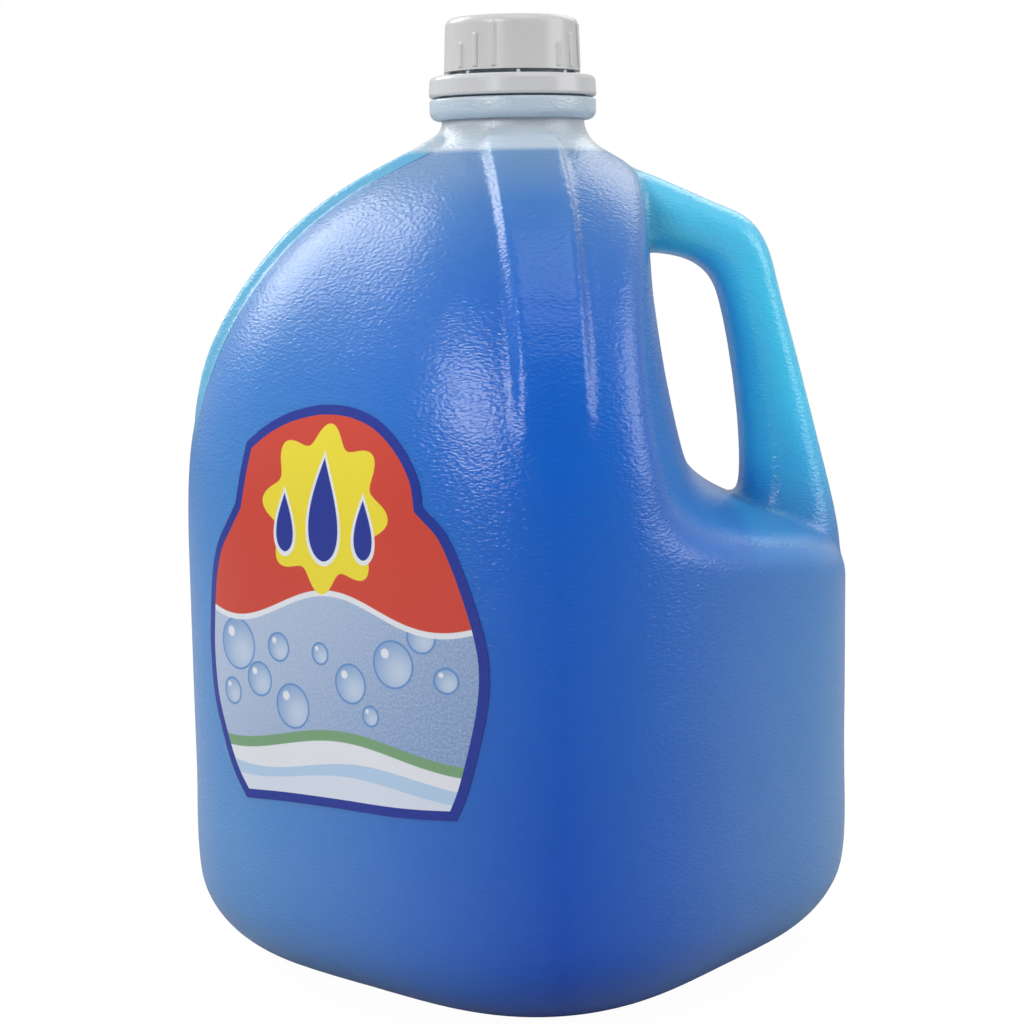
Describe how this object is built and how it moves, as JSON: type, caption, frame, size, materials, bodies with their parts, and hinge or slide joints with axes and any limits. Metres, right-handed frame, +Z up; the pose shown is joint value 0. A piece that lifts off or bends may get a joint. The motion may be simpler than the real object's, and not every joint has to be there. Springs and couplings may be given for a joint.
{
  "type": "detergent bottle",
  "caption": "Large square-shouldered jug of blue liquid detergent with a hollow side handle, ribbed screw cap, tamper ring and a shaped label.",
  "frame": {"origin": "centre of the flat rest ring of the base, on the neck's axis", "axes": "+Z up along the neck, +X towards the handle, -Y towards the free corner between the label face and the right face"},
  "size_m": [0.1982, 0.1982, 0.2781],
  "materials": {
    "shell": "satin natural polyethylene, blue from the liquid behind it",
    "liquid": "clear blue liquid",
    "cap_white": "satin white moulding",
    "seal_white": "soft white moulding",
    "label_paper": "glossy printed paper"
  },
  "bodies": {
    "bottle": {"bottle": "shell", "detergent": "liquid", "tamper_ring": "cap_white", "label": "label_paper"},
    "seal": {"cap_seal": "seal_white"},
    "cap": {"cap": "cap_white"}
  },
  "joints": [
    {"name": "cap_lift", "type": "slide", "parent": "bottle", "child": "seal", "axis": [0, 0, 1], "range_m": [0, 0.0168]},
    {"name": "cap_turn", "type": "hinge", "parent": "seal", "child": "cap", "pos_m": [0, 0, 0.2756], "axis": [0, 0, 1], "range_deg": [0, 1440]}
  ],
  "couplings": [
    {"joint": "cap_turn", "follows": "cap_lift", "rad_per_m": 1496}
  ]
}
